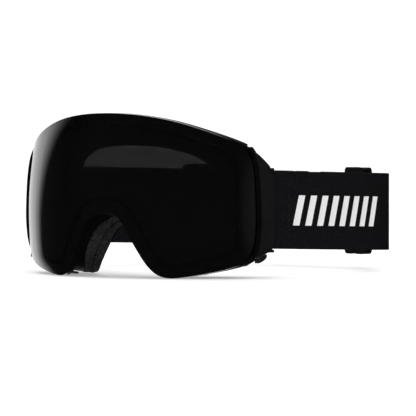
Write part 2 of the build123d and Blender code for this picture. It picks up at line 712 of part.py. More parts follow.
# ------------------------------------------------------------------ strap sliders
S_SLIDE = S_STRAIGHT + 1.0
SLIDE_LEN = 19.6
SLIDE_TRAVEL = 20.0
with BuildPart() as slider_left:
    sx, sy, sb = at_s(S_SLIDE + SLIDE_LEN / 2)
    off = LAY / 2
    cx, cy = sx - off * math.sin(sb), sy + off * math.cos(sb)
    tilt = math.degrees(sb)
    zc = strap_z(sy)
    here = Plane(origin=(cx, cy, zc), x_dir=(math.cos(sb), math.sin(sb), 0), z_dir=(math.sin(sb), -math.cos(sb), 0))
    with BuildSketch(here) as outline:
        with Locations((-5.0, 0), (5.0, 0)):
            RectangleRounded(9.6, STRAP_W + 6.8, 2.6)
        Rectangle(8.0, STRAP_W + 4.6)
        with Locations((-4.8, 0), (4.8, 0)):
            Rectangle(4.6, STRAP_W - 4.0, mode=Mode.SUBTRACT)
    extrude(amount=3.5, both=True)
    with BuildSketch(Plane.XY.offset(zc - HALF_W - 1.25)):
        with Locations(Location((cx, cy, 0), (0, 0, tilt))):
            Rectangle(SLIDE_LEN + 8.0, STRAP_T + LAY + 0.8)
    extrude(amount=STRAP_W + 2.5, mode=Mode.SUBTRACT)

with BuildPart() as slider_right:
    add(mirror_x(slider_left.part))

# ------------------------------------------------------------------ hand-over
DEPTH = Y_CLIP + 0.8
NODES = {
    "outer_lens": outer_lens, "inner_lens": inner_lens, "lens_gasket": lens_gasket, "lens_magnets": lens_magnets,
    "front_frame": front_frame, "frame_magnets": frame_magnets, "face_frame": face_frame,
    "vent_foam_top": vent_foam_top, "vent_foam_bottom": vent_foam_bottom,
    "face_foam_base": face_foam_base, "face_foam_soft": face_foam_soft, "face_fleece": face_fleece,
    "side_cover_left": side_cover_left, "side_cover_right": side_cover_right,
    "strap_pin_left": strap_pin_left, "strap_pin_right": strap_pin_right,
    "latch_lever_left": latch_lever_left, "latch_lever_right": latch_lever_right, "latch_pins": latch_pins,
    "strap_left": strap_left, "strap_right": strap_right,
    "grip_lines_left": grip_lines_left, "grip_lines_right": grip_lines_right,
    "strap_pattern_left": strap_pattern_left, "strap_pattern_right": strap_pattern_right,
    "bar_tacks_left": bar_tacks_left, "bar_tacks_right": bar_tacks_right,
    "clip_male": clip_male, "clip_female": clip_female,
    "slider_left": slider_left, "slider_right": slider_right,
}
everything = Compound(children=[b.part.moved(Location((0, 0, 0))) for b in NODES.values()])
box = everything.bounding_box()
shift = Location((-(box.min.X + box.max.X) / 2, -(box.min.Y + box.max.Y) / 2, -box.min.Z))
for label, built in NODES.items():
    solid = built.part.moved(shift)
    solid.label = label
    export_step(solid, f"parts/{label}.step")
print("shift", shift.position, "box", box.size)
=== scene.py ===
"""Ski goggles on a pale floor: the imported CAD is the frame, soft pieces are rebuilt in detail on it."""
import bpy
import bmesh
import math
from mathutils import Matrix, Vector, noise


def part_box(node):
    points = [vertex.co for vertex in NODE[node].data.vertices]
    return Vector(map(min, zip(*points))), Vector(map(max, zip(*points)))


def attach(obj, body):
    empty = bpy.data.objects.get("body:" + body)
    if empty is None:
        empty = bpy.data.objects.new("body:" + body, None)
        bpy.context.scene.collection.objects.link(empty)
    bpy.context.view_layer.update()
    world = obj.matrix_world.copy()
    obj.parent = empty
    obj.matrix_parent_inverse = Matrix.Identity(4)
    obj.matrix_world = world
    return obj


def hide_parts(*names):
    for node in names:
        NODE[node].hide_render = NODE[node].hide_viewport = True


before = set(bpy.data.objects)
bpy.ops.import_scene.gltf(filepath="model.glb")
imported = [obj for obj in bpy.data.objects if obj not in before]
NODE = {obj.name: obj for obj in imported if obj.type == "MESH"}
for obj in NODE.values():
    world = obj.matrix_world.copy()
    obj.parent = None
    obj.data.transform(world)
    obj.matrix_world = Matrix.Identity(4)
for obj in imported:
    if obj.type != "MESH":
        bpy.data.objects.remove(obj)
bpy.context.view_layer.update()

# the CAD's own millimetres to the row frame: x, y, z shifts
_lo, _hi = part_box("strap_pin_left")
PIN_ROW = Vector(((_lo[0] + _hi[0]) / 2, (_lo[1] + _hi[1]) / 2, 0))
DX = PIN_ROW.x * 1000 - 86.5
DY = PIN_ROW.y * 1000 - 64.0
DZ = (_lo[2] + _hi[2]) * 500 - (43.3 - 0.13)


def row(x, y, z):
    return Vector(((x + DX) / 1000, (y + DY) / 1000, (z + DZ) / 1000))


# ------------------------------------------------------------------ outlines, as in the CAD
FACE_HALF = [(0, 97.0), (15, 96.4), (29, 94.2), (42, 90.4), (53, 84.8), (61.5, 77.5), (68.0, 68.0), (72.2, 57.5),
             (73.6, 46.0), (72.6, 34.0), (69.0, 22.5), (63.0, 13.0), (55.0, 6.2), (46.5, 2.2), (39.0, 1.6),
             (33.5, 4.4), (28.3, 10.6), (22.6, 20.0), (16.6, 29.6), (10.8, 36.2), (5.2, 38.8)]
EYE_HALF = [(0, 84.0), (15, 83.6), (30, 81.8), (43, 78.0), (53.2, 71.4), (60.0, 62.2), (63.2, 50.5),
            (62.2, 39.0), (57.4, 29.8), (49.6, 23.4), (40.0, 20.8), (31.8, 22.8), (24.2, 29.4), (17.0, 39.2),
            (10.6, 47.8), (5.0, 52.2)]
FOAM_HALF = [(0, 96.2), (15, 95.6), (29, 93.4), (42, 89.4), (52.5, 83.8), (60.5, 76.6), (66.6, 67.6), (70.6, 57.5),
             (72.0, 46.0), (71.0, 34.0), (67.4, 22.5), (61.6, 13.0), (54.0, 5.6), (46.0, 1.2), (38.6, 0.2),
             (32.0, 1.6), (26.4, 6.6), (20.4, 15.0), (14.4, 24.4), (9.2, 30.6), (4.6, 33.0)]


def mirrored(half):
    return list(half) + [(-x, z) for x, z in reversed(half) if x > 1e-6]


def smooth(points, per=6):
    out, n = [], len(points)
    for i in range(n):
        p0, p1, p2, p3 = points[i - 1], points[i], points[(i + 1) % n], points[(i + 2) % n]
        for k in range(per):
            t = k / per
            out.append(tuple(0.5 * (2 * p1[j] + (p2[j] - p0[j]) * t
                                    + (2 * p0[j] - 5 * p1[j] + 4 * p2[j] - p3[j]) * t * t
                                    + (3 * p1[j] - p0[j] - 3 * p2[j] + p3[j]) * t ** 3)
                             for j in range(len(p1))))
    return out


def resample(loop, n):
    m = len(loop)
    start = max(range(m), key=lambda i: loop[i][1] - abs(loop[i][0]) * 5)
    pts = loop[start:] + loop[:start]
    pts.append(pts[0])
    s = [0.0]
    for a, b in zip(pts, pts[1:]):
        s.append(s[-1] + math.dist(a, b))
    out, j = [], 0
    for i in range(n):
        t = s[-1] * i / n
        while s[j + 1] < t:
            j += 1
        f = (t - s[j]) / max(s[j + 1] - s[j], 1e-9)
        out.append(tuple(pts[j][k] + f * (pts[j + 1][k] - pts[j][k]) for k in (0, 1)))
    return out


def relax(loop, passes):
    for _ in range(passes):
        loop = [tuple((loop[i - 1][k] + 2 * loop[i][k] + loop[(i + 1) % len(loop)][k]) / 4 for k in (0, 1))
                for i in range(len(loop))]
    return loop


def ring_points(half, n=56):
    dense = resample(smooth(mirrored(half), 10), 600)
    loop = resample(relax(resample(dense, 240), 3), n)
    return [((loop[i][0] - loop[-i % n][0]) / 2, (loop[i][1] + loop[-i % n][1]) / 2) for i in range(n)]


def near_nose(x, z):
    a = min(1.0, max(0.0, (52.0 - z) / 26.0))
    b = min(1.0, max(0.0, (44.0 - abs(x)) / 22.0))
    return a * a * (3 - 2 * a) * b * b * (3 - 2 * b)


def face_point(p, back):
    x, z = p
    w = near_nose(x, z)
    return (x, 128.0 - math.sqrt(100.0 ** 2 - x * x) - 17.0 * w + back * (1 + 0.38 * w), z)


def toward(loop, other, f):
    return [(a[0] + f * (b[0] - a[0]), a[1] + f * (b[1] - a[1])) for a, b in zip(loop, other)]


PER = 5                                   # mesh stations per outline point
FACE = ring_points(FACE_HALF)
FOAM = ring_points(FOAM_HALF)
EYE = ring_points(EYE_HALF)


# ------------------------------------------------------------------ mesh helpers
def new_object(name, verts, faces, smooth_shade=True, uvs=None):
    mesh = bpy.data.meshes.new(name)
    mesh.from_pydata([tuple(v) for v in verts], [], faces)
    mesh.validate()
    bm = bmesh.new()
    bm.from_mesh(mesh)
    bmesh.ops.recalc_face_normals(bm, faces=bm.faces)
    bm.to_mesh(mesh)
    bm.free()
    for p in mesh.polygons:
        p.use_smooth = smooth_shade
    if uvs is not None:
        layer = mesh.uv_layers.new(name="UVMap")
        for loop in mesh.loops:
            layer.data[loop.index].uv = uvs[loop.vertex_index]
    obj = bpy.data.objects.new(name, mesh)
    bpy.context.scene.collection.objects.link(obj)
    return obj


def torus(name, loops):
    """Closed ring through loops of equal length, taken round its section."""
    n, m = len(loops[0]), len(loops)
    verts = [v for loop in loops for v in loop]
    faces = []
    for j in range(m):
        for i in range(n):
            a, b = j * n + i, j * n + (i + 1) % n
            c, d = ((j + 1) % m) * n + (i + 1) % n, ((j + 1) % m) * n + i
            faces.append((a, b, c, d))
    return new_object(name, verts, faces)


def dense3(points3):
    """Closed loop of 3-D points, smoothly subdivided."""
    return smooth(points3, PER)


def pad_ring(name, out0, in0, out1, in1, bulge=0.9, corner=1.1, crown=0.0, wobble=0.12, seed=1.0, rows=5):
    """A foam ring between a front section edge (out0 to in0) and a back one (out1 to in1), with rounded
    corners, sides that swell and a crowned back. All four are closed loops of 3-D points in the CAD's mm."""
    o0, i0, o1, i1 = (dense3(l) for l in (out0, in0, out1, in1))
    n = len(o0)
    loops = []

    def mix(a, b, f):
        return tuple(a[k] + f * (b[k] - a[k]) for k in range(3))
    # section in (f across, g deep): walk round it
    walk = []
    cf = 0.10
    cg = 0.16
    for t in (0.0, 0.35, 0.7, 1.0):
        walk.append((cf * t, cg * (1 - t) ** 1.8))
    walk += [(0.25, 0.0), (0.5, 0.0), (0.75, 0.0)]
    for t in (0.0, 0.3, 0.65, 1.0):
        walk.append((1 - cf * (1 - t), cg * t ** 1.8))
    for k in range(1, rows):
        walk.append((1.0, cg + (1 - 2 * cg) * k / rows))
    for t in (0.0, 0.3, 0.65, 1.0):
        walk.append((1 - cf * t, 1 - cg * (1 - t) ** 1.8))
    walk += [(0.78, 1.0), (0.64, 1.0), (0.5, 1.0), (0.36, 1.0), (0.22, 1.0)]
    for t in (0.0, 0.35, 0.7, 1.0):
        walk.append((cf * (1 - t), 1 - cg * t ** 1.8))
    for k in range(1, rows):
        walk.append((0.0, 1 - cg - (1 - 2 * cg) * k / rows))
    for f, g in walk:
        loop = []
        for i in range(n):
            a = mix(o0[i], o1[i], g)
            b = mix(i0[i], i1[i], g)
            p = mix(a, b, f)
            across = Vector(b) - Vector(a)
            width = across.length
            across.normalize()
            side = (abs(f - 0.5) * 2) ** 6
            swell = bulge * math.sin(math.pi * min(1.0, max(0.0, g))) * side
            p = Vector(p) + across * (swell if f > 0.5 else -swell)
            if g > 0.5:
                p.y += crown * math.sin(math.pi * f) ** 0.8 * (g - 0.5) * 2
            w = noise.noise(Vector((p.x * 0.06, p.y * 0.06, p.z * 0.06 + seed * 17)))
            w += 0.5 * noise.noise(Vector((p.x * 0.17, p.y * 0.17, p.z * 0.17 + seed * 9)))
            p += across * (w * wobble * (1 if f > 0.5 else -1) * side)
            p.y += w * wobble * 0.6 * (g if g > 0.5 else 0)
            loop.append(row(*p))
        loops.append(loop)
    return torus(name, loops)


# ------------------------------------------------------------------ materials
def material(name, color=(0.5, 0.5, 0.5), rough=0.5, **kw):
    m = bpy.data.materials.new(name)
    m.use_nodes = True
    b = m.node_tree.nodes["Principled BSDF"]
    b.inputs["Base Color"].default_value = (*color, 1)
    b.inputs["Roughness"].default_value = rough
    for key, value in kw.items():
        b.inputs[key.replace("_", " ")].default_value = value
    return m


def add(m, kind, **inputs):
    n = m.node_tree.nodes.new(kind)
    for key, value in inputs.items():
        n.inputs[key].default_value = value
    return n


def link(m, a, out, b, inp):
    m.node_tree.links.new(a.outputs[out], b.inputs[inp])


def coords(m, scale=(1, 1, 1), uv=False):
    tc = add(m, "ShaderNodeTexCoord")
    mp = add(m, "ShaderNodeMapping")
    mp.inputs["Scale"].default_value = scale
    link(m, tc, "UV" if uv else "Object", mp, "Vector")
    return mp


def noise_tex(m, vec, scale, detail=4.0, rough=0.55, dim=None):
    n = add(m, "ShaderNodeTexNoise")
    n.inputs["Scale"].default_value = scale
    n.inputs["Detail"].default_value = detail
    n.inputs["Roughness"].default_value = rough
    link(m, vec, "Vector", n, "Vector")
    return n


def ramp(m, source, out, stops, socket="Color"):
    r = add(m, "ShaderNodeValToRGB")
    while len(r.color_ramp.elements) < len(stops):
        r.color_ramp.elements.new(0.5)
    for e, (pos, col) in zip(r.color_ramp.elements, stops):
        e.position = pos
        e.color = (*col, 1) if len(col) == 3 else col
    link(m, source, out, r, "Fac")
    return r


def to_bsdf(m, node, out, socket):
    m.node_tree.links.new(node.outputs[out], m.node_tree.nodes["Principled BSDF"].inputs[socket])


def bump(m, source, out, strength, distance, under=None):
    b = add(m, "ShaderNodeBump")
    b.inputs["Strength"].default_value = strength
    b.inputs["Distance"].default_value = distance
    link(m, source, out, b, "Height")
    if under is not None:
        link(m, under, "Normal", b, "Normal")
    to_bsdf(m, b, "Normal", "Normal")
    return b


def math_node(m, op, a=None, b=None, va=None, vb=None, vc=0.0, clamp=False):
    n = add(m, "ShaderNodeMath")
    n.operation = op
    n.use_clamp = clamp
    if a is not None:
        m.node_tree.links.new(a, n.inputs[0])
    if b is not None:
        m.node_tree.links.new(b, n.inputs[1])
    if va is not None:
        n.inputs[0].default_value = va
    if vb is not None:
        n.inputs[1].default_value = vb
    if op == "MULTIPLY_ADD":
        if hasattr(vc, "node"):
            m.node_tree.links.new(vc, n.inputs[2])
        else:
            n.inputs[2].default_value = vc
    return n.outputs[0]


def moulded(name, low, high, rough, grain=900.0, depth=0.00004, spread=0.08, coat=0.0, spec=0.3):
    """Moulded plastic: fine spark grain, slow colour drift and handling marks in the gloss."""
    m = material(name, low, rough)
    v = coords(m)
    drift = noise_tex(m, v, 45.0, 5.0, 0.6)
    to_bsdf(m, ramp(m, drift, "Fac", [(0.3, low), (0.72, high)]), "Color", "Base Color")
    wear = noise_tex(m, v, 160.0, 6.0, 0.65)
    r = ramp(m, wear, "Fac", [(0.25, (rough - spread,) * 3), (0.8, (rough + spread,) * 3)])
    to_bsdf(m, r, "Color", "Roughness")
    fine = noise_tex(m, v, grain, 3.0, 0.6)
    bump(m, fine, "Fac", 0.35, depth)
    m.node_tree.nodes["Principled BSDF"].inputs["Coat Weight"].default_value = coat
    m.node_tree.nodes["Principled BSDF"].inputs["Specular IOR Level"].default_value = spec
    return m


def foam_material(name, low, high, cell=1500.0, depth=0.0004, fuzz=0.15):
    """Open-cell foam: pores between lighter struts, of two sizes, with painted shade darkening the colour in the pores
    over a random speckle.
    """
    m = material(name, low, 0.92)
    v = coords(m)
    cells = add(m, "ShaderNodeTexVoronoi")
    cells.inputs["Scale"].default_value = cell
    link(m, v, "Vector", cells, "Vector")
    speck = noise_tex(m, v, cell * 0.62, 6.0, 0.75)
    patch = noise_tex(m, v, 60.0, 4.0, 0.6)
    # painted shade: the pore distance darkens the colour inside the pores; the same value also gives their depth in
    # the bump
    pore_depth_and_shade = math_node(m, "MULTIPLY", cells.outputs["Distance"], vb=0.35)
    mixed = math_node(m, "MULTIPLY_ADD", speck.outputs["Fac"], vb=0.9, vc=pore_depth_and_shade)
    both = math_node(m, "MULTIPLY_ADD", patch.outputs["Fac"], vb=0.12, vc=mixed)
    r = add(m, "ShaderNodeValToRGB")
    for e, (pos, col) in zip(r.color_ramp.elements, [(0.56, low), (0.80, high)]):
        e.position = pos
        e.color = (*col, 1)
    m.node_tree.links.new(both, r.inputs["Fac"])
    to_bsdf(m, r, "Color", "Base Color")
    b = add(m, "ShaderNodeBump")
    b.inputs["Strength"].default_value = 0.9
    b.inputs["Distance"].default_value = depth
    m.node_tree.links.new(mixed, b.inputs["Height"])
    to_bsdf(m, b, "Normal", "Normal")
    s = m.node_tree.nodes["Principled BSDF"]
    s.inputs["Specular IOR Level"].default_value = 0.12
    s.inputs["Sheen Weight"].default_value = fuzz
    s.inputs["Sheen Roughness"].default_value = 0.6
    return m


def webbing_material(name, dark, light, weave=True):
    """Knitted elastic webbing: fine ribs across, rows of stitches along, denser selvages. Works in the
    strap's own length and width (UV in metres)."""
    m = material(name, dark, 0.78)
    v = coords(m, uv=True)
    sep = add(m, "ShaderNodeSeparateXYZ")
    link(m, v, "Vector", sep, "Vector")
    # ribs: across every 0.7 mm, courses every 0.55 mm, half-offset
    u = math_node(m, "MULTIPLY", sep.outputs["X"], vb=2 * math.pi / 0.00082)
    w = math_node(m, "MULTIPLY", sep.outputs["Y"], vb=2 * math.pi / 0.00064)
    su = math_node(m, "SINE", u)
    sw = math_node(m, "SINE", w)
    knit = math_node(m, "MULTIPLY", su, sw)
    twill = math_node(m, "SINE", math_node(m, "ADD", u, w))
    both = math_node(m, "MULTIPLY_ADD", twill, vb=0.6, vc=knit)
    uneven = noise_tex(m, v, 620.0, 6.0, 0.8)
    slow = noise_tex(m, v, 60.0, 3.0, 0.5)
    tone = math_node(m, "MULTIPLY_ADD", uneven.outputs["Fac"], vb=1.5, vc=-0.25)
    tone1 = math_node(m, "MULTIPLY_ADD", both, vb=0.07, vc=tone)
    tone2 = math_node(m, "MULTIPLY_ADD", slow.outputs["Fac"], vb=0.15, vc=tone1)
    r = add(m, "ShaderNodeValToRGB")
    mid = tuple((a + b) / 2 for a, b in zip(dark, light))
    r.color_ramp.elements.new(0.5)
    for e, (pos, col) in zip(r.color_ramp.elements, [(0.32, dark), (0.58, mid), (0.88, light)]):
        e.position = pos
        e.color = (*col, 1)
    m.node_tree.links.new(tone2, r.inputs["Fac"])
    to_bsdf(m, r, "Color", "Base Color")
    height = math_node(m, "MULTIPLY_ADD", uneven.outputs["Fac"], vb=1.4, vc=both)
    b = add(m, "ShaderNodeBump")
    b.inputs["Strength"].default_value = 0.55
    b.inputs["Distance"].default_value = 0.00012
    m.node_tree.links.new(height, b.inputs["Height"])
    to_bsdf(m, b, "Normal", "Normal")
    s = m.node_tree.nodes["Principled BSDF"]
    s.inputs["Specular IOR Level"].default_value = 0.06
    s.inputs["Sheen Weight"].default_value = 0.0
    return m


def fabric_object(name, low, high, scale, depth, sheen=0.2):
    """Short-pile fabric or woven print, in object space."""
    m = material(name, low, 0.9)
    v = coords(m)
    pile = noise_tex(m, v, scale, 6.0, 0.8)
    patch = noise_tex(m, v, 90.0, 3.0, 0.5)
    mixed = math_node(m, "MULTIPLY_ADD", patch.outputs["Fac"], vb=0.2, vc=pile.outputs["Fac"])
    r = add(m, "ShaderNodeValToRGB")
    for e, (pos, col) in zip(r.color_ramp.elements, [(0.45, low), (0.74, high)]):
        e.position = pos
        e.color = (*col, 1)
    m.node_tree.links.new(mixed, r.inputs["Fac"])
    to_bsdf(m, r, "Color", "Base Color")
    bump(m, pile, "Fac", 0.7, depth)
    s = m.node_tree.nodes["Principled BSDF"]
    s.inputs["Specular IOR Level"].default_value = 0.15
    s.inputs["Sheen Weight"].default_value = sheen
    s.inputs["Sheen Roughness"].default_value = 0.45
    return m


def lens_material(name, tint, rough, coat=0.0):
    m = material(name, tint, rough)
    b = m.node_tree.nodes["Principled BSDF"]
    b.inputs["Transmission Weight"].default_value = 1.0
    b.inputs["IOR"].default_value = 1.50
    b.inputs["Coat Weight"].default_value = coat
    v = coords(m)
    haze = noise_tex(m, v, 40.0, 4.0, 0.55)
    r = ramp(m, haze, "Fac", [(0.3, (rough * 0.6,) * 3), (0.8, (rough * 1.5,) * 3)])
    to_bsdf(m, r, "Color", "Roughness")
    return m


MAT = {
    "lens": lens_material("tinted_lens", (0.0190, 0.0188, 0.0194), 0.010, 0.0),
    "clear": lens_material("clear_sheet", (0.80, 0.81, 0.82), 0.03),
    "seal": foam_material("spacer_foam", (0.004, 0.004, 0.004), (0.012, 0.012, 0.012), 2200.0, 0.0001, 0.05),
    "frame": moulded("frame_plastic", (0.0022, 0.0022, 0.0023), (0.0045, 0.0045, 0.0047), 0.5, spec=0.15),
    "flex": moulded("flexible_frame", (0.0018, 0.0018, 0.0019), (0.0036, 0.0036, 0.0038), 0.6, 700.0, 0.00006, spec=0.1),
    "cover": moulded("cover_plastic", (0.0088, 0.0084, 0.0080), (0.0128, 0.0122, 0.0116), 0.5, 1100.0, 0.00005, spec=0.2),
    "lever": moulded("lever_plastic", (0.010, 0.010, 0.0105), (0.018, 0.018, 0.018), 0.38, 1000.0, 0.00004),
    "clip": moulded("clip_plastic", (0.005, 0.005, 0.0055), (0.009, 0.009, 0.0095), 0.36, 900.0, 0.00004),
    "foam": foam_material("face_foam", (0.0016, 0.0016, 0.0017), (0.032, 0.032, 0.0325), 900.0, 0.0005, 0.02),
    "soft": foam_material("soft_foam", (0.0016, 0.0016, 0.0017), (0.031, 0.031, 0.0315), 930.0, 0.0004, 0.02),
    "vent": foam_material("vent_foam", (0.003, 0.003, 0.003), (0.045, 0.045, 0.046), 900.0, 0.0005),
    "fleece": fabric_object("fleece", (0.0016, 0.0016, 0.0018), (0.026, 0.026, 0.0265), 900.0, 0.0004, 0.03),
    "strap": webbing_material("elastic_webbing", (0.0022, 0.0020, 0.0024), (0.0150, 0.0136, 0.0162)),
    "white": fabric_object("woven_white", (0.86, 0.86, 0.86), (0.98, 0.98, 0.975), 1700.0, 0.00012, 0.0),
    "thread": fabric_object("tack_thread", (0.008, 0.008, 0.009), (0.03, 0.03, 0.033), 2600.0, 0.0002, 0.2),
}


def steel(name):
    m = material(name, (0.42, 0.42, 0.43), 0.3, Metallic=1.0)
    v = coords(m, (1, 1, 0.06))
    n = noise_tex(m, v, 2400.0, 3.0, 0.6)
    to_bsdf(m, ramp(m, n, "Fac", [(0.3, (0.22,) * 3), (0.8, (0.42,) * 3)]), "Color", "Roughness")
    bump(m, n, "Fac", 0.25, 0.00002)
    return m


def silicone(name):
    m = material(name, (0.012, 0.012, 0.013), 0.28)
    v = coords(m)
    n = noise_tex(m, v, 420.0, 4.0, 0.6)
    to_bsdf(m, ramp(m, n, "Fac", [(0.3, (0.010, 0.010, 0.011)), (0.75, (0.030, 0.030, 0.032))]), "Color", "Base Color")
    bump(m, n, "Fac", 0.5, 0.00012)
    return m


MAT["steel"] = steel("turned_steel")
MAT["magnet"] = moulded("magnet_black", (0.003, 0.003, 0.003), (0.006, 0.006, 0.006), 0.5)
MAT["grip"] = silicone("grip_silicone")

ASSIGN = {
    "outer_lens": "lens", "inner_lens": "clear", "lens_gasket": "seal", "lens_magnets": "magnet", "front_frame": "frame",
    "frame_magnets": "magnet", "face_frame": "flex", "side_cover_left": "cover", "side_cover_right": "cover",
    "strap_pin_left": "steel", "strap_pin_right": "steel", "latch_lever_left": "lever", "latch_lever_right": "lever",
    "latch_pins": "steel", "grip_lines_left": "grip", "grip_lines_right": "grip", "strap_pattern_left": "white",
    "strap_pattern_right": "white", "bar_tacks_left": "thread", "bar_tacks_right": "thread", "clip_male": "clip",
    "clip_female": "clip", "slider_left": "clip", "slider_right": "clip",
    "vent_foam_top": "vent", "vent_foam_bottom": "vent", "face_foam_base": "foam", "face_foam_soft": "soft",
    "face_fleece": "fleece", "strap_left": "strap", "strap_right": "strap",
}
for node, key in ASSIGN.items():
    obj = NODE[node]
    obj.data.materials.clear()
    obj.data.materials.append(MAT[key])


def soften(node, width, segments=3, angle=38):
    """Rounded edges on a CAD piece, for the highlight along them."""
    obj = NODE[node]
    bev = obj.modifiers.new("edge", "BEVEL")
    bev.width = width
    bev.segments = segments
    bev.limit_method = "ANGLE"
    bev.angle_limit = math.radians(angle)
    bev.harden_normals = False
    return obj


# ------------------------------------------------------------------ face foam
t1, t2, t3 = 7.5, 6.5, 1.4
d0, d1, d2, d3 = 2.0, 2.0 + t1, 2.0 + t1 + t2, 2.0 + t1 + t2 + t3
OUT_MID = toward(FACE, FOAM, 0.5)


def at(loop, back):
    return [face_point(p, back) for p in loop]


base = pad_ring("foam_base_piece", at(FACE, d0 + 0.05), at(toward(FACE, EYE, 0.96), d0 + 0.05), at(OUT_MID, d1 - 0.05),
                at(EYE, d1 - 0.05), bulge=0.35, crown=0.0, wobble=0.18, seed=1.0)
base.data.materials.append(MAT["foam"])
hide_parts("face_foam_base")
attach(base, "frame")

softp = pad_ring("foam_soft_piece", at(OUT_MID, d1), at(EYE, d1), at(toward(FOAM, EYE, 0.04), d2),
                 at(toward(EYE, FOAM, 0.04), d2), bulge=0.75, crown=0.0, wobble=0.25, seed=2.0)
softp.data.materials.append(MAT["soft"])
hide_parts("face_foam_soft")
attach(softp, "frame")

fleece = pad_ring("fleece_piece", at(toward(FOAM, EYE, 0.02), d2), at(toward(EYE, FOAM, 0.02), d2),
                  at(toward(FOAM, EYE, 0.12), d3 - 0.6), at(toward(EYE, FOAM, 0.12), d3 - 0.6),
                  bulge=0.35, crown=1.1, wobble=0.3, seed=3.0, rows=3)
fleece.data.materials.append(MAT["fleece"])
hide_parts("face_fleece")
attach(fleece, "frame")

# vent foam: the CAD strips with rounded, slightly uneven faces
for node in ("vent_foam_top", "vent_foam_bottom"):
    src = NODE[node]
    mesh = src.data.copy()
    mesh.name = node + "_mesh"
    obj = bpy.data.objects.new(node + "_piece", mesh)
    bpy.context.scene.collection.objects.link(obj)
    rem = obj.modifiers.new("remesh", "REMESH")
    rem.mode = "VOXEL"
    rem.voxel_size = 0.0006
    rem.use_smooth_shade = True
    sm = obj.modifiers.new("smooth", "SMOOTH")
    sm.factor = 0.6
    sm.iterations = 6
    deps = bpy.context.evaluated_depsgraph_get()
    baked = bpy.data.meshes.new_from_object(obj.evaluated_get(deps))
    obj.modifiers.clear()
    obj.data = baked
    for v in baked.vertices:
        w = noise.noise(Vector(v.co) * 180.0)
        v.co += v.normal * (w * 0.00015)
    baked.materials.clear()
    baked.materials.append(MAT["vent"])
    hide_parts(node)
    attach(obj, "frame")

# ------------------------------------------------------------------ webbing
BETA0, R1, R2, R3, STRAIGHT, BETA2, BAR_X = 68.7, 243.0, 50.0, 42.0, 44.0, 162.0, 13.8
STRAP_T, STRAP_W, LAY = 1.6, 50.0, 1.8


def strap_z(y):
    return 43.3 - (y - 64.0) * math.tan(math.radians(2.2))


def path_points():
    b = math.radians(BETA0)
    x, y = 86.5 + 2.1 * math.sin(b), 64.0 - 2.1 * math.cos(b)
    pts = [(0.0, x, y, b)]
    s = 0.0
    for size, target in [(7.0, 0.0), (R1, 90.0), (R2, BETA2), (STRAIGHT, 0.0), (R3, 180.0)]:
        if target == 0.0:
            n = int(size / 1.4)
            for _ in range(n):
                x += size / n * math.cos(b)
                y += size / n * math.sin(b)
                s += size / n
                pts.append((s, x, y, b))
        else:
            turn = math.radians(target) - b
            n = max(3, int(turn * size / 1.4))
            for _ in range(n):
                d = turn / n
                chord = 2 * size * math.sin(d / 2)
                x += chord * math.cos(b + d / 2)
                y += chord * math.sin(b + d / 2)
                b += d
                s += size * d
                pts.append((s, x, y, b))
    rest = x - BAR_X
    for _ in range(3):
        x -= rest / 3
        s += rest / 3
        pts.append((s, x, y, b))
    return pts


PATH = path_points()
S_END = PATH[-1][0]
S_STRAIGHT = next(p[0] for p in PATH if abs(math.degrees(p[3]) - BETA2) < 1e-4)
Y_BAR = PATH[-1][2] - 2.1


def smoothstep(t):
    t = min(1.0, max(0.0, t))
    return t * t * (3 - 2 * t)


def centreline():
    """Plan points (x, y, outward normal x, y, s) of the whole webbing, from the tail under the slider,
    along the inner layer, round the clip's bar, along the outer layer, round the anchor pin and back
    under itself to the bar tacks."""
    pts = []

    def from_path(p, off):
        s, x, y, b = p
        nx, ny = math.sin(b), -math.cos(b)
        return (x + nx * off, y + ny * off, nx, ny)
    s_tail = S_STRAIGHT + 4.0
    inner = [p for p in PATH if s_tail <= p[0] <= S_END - 5.0]
    for p in inner:
        pts.append(from_path(p, -LAY) + (-1,))
    # inner layer meets the bar's far side, round the bar, out on the outer side
    x0, y0 = pts[-1][0], pts[-1][1]
    cx, cy = BAR_X, Y_BAR
    for k in range(1, 4):
        f = k / 4
        x = x0 + (cx - x0) * f
        y = y0 + (cy - 2.1 - y0) * smoothstep(f)
        pts.append((x, y, 0.0, 1.0, -1))
    for k in range(0, 15):
        a = math.radians(-90 - 180 * k / 14)
        pts.append((cx + 2.1 * math.cos(a), cy + 2.1 * math.sin(a), -math.cos(a), -math.sin(a), -1))
    outer = [p for p in PATH if p[0] < S_END - 0.3]
    for p in reversed(outer):
        pts.append(from_path(p, 0.0) + (p[0],))
    # round the anchor pin, on the side towards the lens
    b = math.radians(BETA0)
    a0 = BETA0 - 90
    for k in range(1, 15):
        a = math.radians(a0 - 180 * k / 14)
        pts.append((86.5 + 2.1 * math.cos(a), 64.0 + 2.1 * math.sin(a), 0, 0, -2))
    ux, uy = math.cos(b), math.sin(b)
    nx, ny = math.sin(b), -math.cos(b)
    for k in range(1, 12):
        d = 14.6 * k / 11
        side = -2.1 + (2.1 - 1.66) * smoothstep(d / 6.0) + 2.1 * smoothstep(d / 6.0)
        # converge from the pin's inner side to just inside the outer layer
        side = -2.1 + (2.1 - 1.66 + 2.1) * smoothstep(d / 6.5) * 1.0
        bend = d * d / (2 * R1) * (1 if d > 7 else 0) * 0.15
        pts.append((86.5 + ux * d + nx * side - nx * bend, 64.0 + uy * d + ny * side - ny * bend, 0, 0, -2))
    return [(p[0], p[1]) for p in pts]


